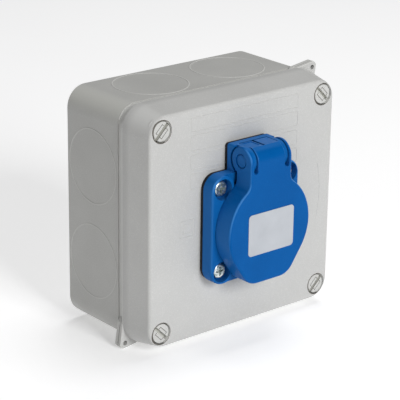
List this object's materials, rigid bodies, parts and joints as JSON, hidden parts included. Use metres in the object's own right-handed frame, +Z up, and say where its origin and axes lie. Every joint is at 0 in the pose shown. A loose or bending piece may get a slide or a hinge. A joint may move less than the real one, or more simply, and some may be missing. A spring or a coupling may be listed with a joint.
{
  "type": "waterproof socket box",
  "caption": "Square surface-mounted grey enclosure with a blue round earthed socket in its lid, under a sprung hinged flap, with quarter-turn lid screws and sealing ears.",
  "frame": {"origin": "middle of the flat wall face at the back of the base", "axes": "+Z up, -Y out of the wall towards the user, +X to the user's right"},
  "size_m": [0.1128, 0.0751, 0.1128],
  "materials": {
    "enclosure_grey": "light grey moulded thermoplastic, fine satin",
    "screw_grey": "light grey moulded plastic",
    "socket_blue": "mid blue moulded plastic, satin",
    "gasket_black": "black cellular rubber",
    "seal_grey": "dark grey soft seal",
    "label_silver": "silvery film sticker",
    "zinc": "bright zinc-plated steel",
    "spring_steel": "stainless spring wire",
    "brass": "plain stamped brass",
    "nickel": "nickel-plated strip",
    "carrier_cream": "pale insulating thermoset"
  },
  "bodies": {
    "enclosure": {"base_box": "enclosure_grey", "lid": "enclosure_grey", "lid_seal": "seal_grey", "lid_screw_rings": "seal_grey", "socket_gasket": "gasket_black", "socket_housing": "socket_blue", "hinge_pin": "socket_blue", "torsion_spring": "spring_steel", "flange_screws": "zinc", "contact_sleeve_line": "brass", "contact_sleeve_neutral": "brass", "sleeve_springs": "spring_steel", "earth_bracket": "nickel", "contact_carrier": "carrier_cream", "terminal_screws": "zinc", "carrier_screw": "zinc"},
    "flap": {"flap": "socket_blue", "flap_seal": "seal_grey", "rating_label": "label_silver"},
    "lid_screw_top_right_body": {"lid_screw_top_right": "screw_grey"},
    "lid_screw_top_left_body": {"lid_screw_top_left": "screw_grey"},
    "lid_screw_bottom_left_body": {"lid_screw_bottom_left": "screw_grey"},
    "lid_screw_bottom_right_body": {"lid_screw_bottom_right": "screw_grey"}
  },
  "joints": [
    {"name": "flap_hinge", "type": "hinge", "parent": "enclosure", "child": "flap", "pos_m": [0, -0.068, 0.0289], "axis": [-1, 0, 0], "range_deg": [0, 95], "stiffness_Nm_per_rad": 0.03, "springref_deg": -57.3, "deforming": ["torsion_spring"]},
    {"name": "top_right_lid_screw_turn", "type": "hinge", "parent": "enclosure", "child": "lid_screw_top_right_body", "pos_m": [0.046, -0.055, 0.046], "axis": [0, -1, 0], "range_deg": [0, 90]},
    {"name": "top_left_lid_screw_turn", "type": "hinge", "parent": "enclosure", "child": "lid_screw_top_left_body", "pos_m": [-0.046, -0.055, 0.046], "axis": [0, -1, 0], "range_deg": [0, 90]},
    {"name": "bottom_left_lid_screw_turn", "type": "hinge", "parent": "enclosure", "child": "lid_screw_bottom_left_body", "pos_m": [-0.046, -0.055, -0.046], "axis": [0, -1, 0], "range_deg": [0, 90]},
    {"name": "bottom_right_lid_screw_turn", "type": "hinge", "parent": "enclosure", "child": "lid_screw_bottom_right_body", "pos_m": [0.046, -0.055, -0.046], "axis": [0, -1, 0], "range_deg": [0, 90]}
  ]
}
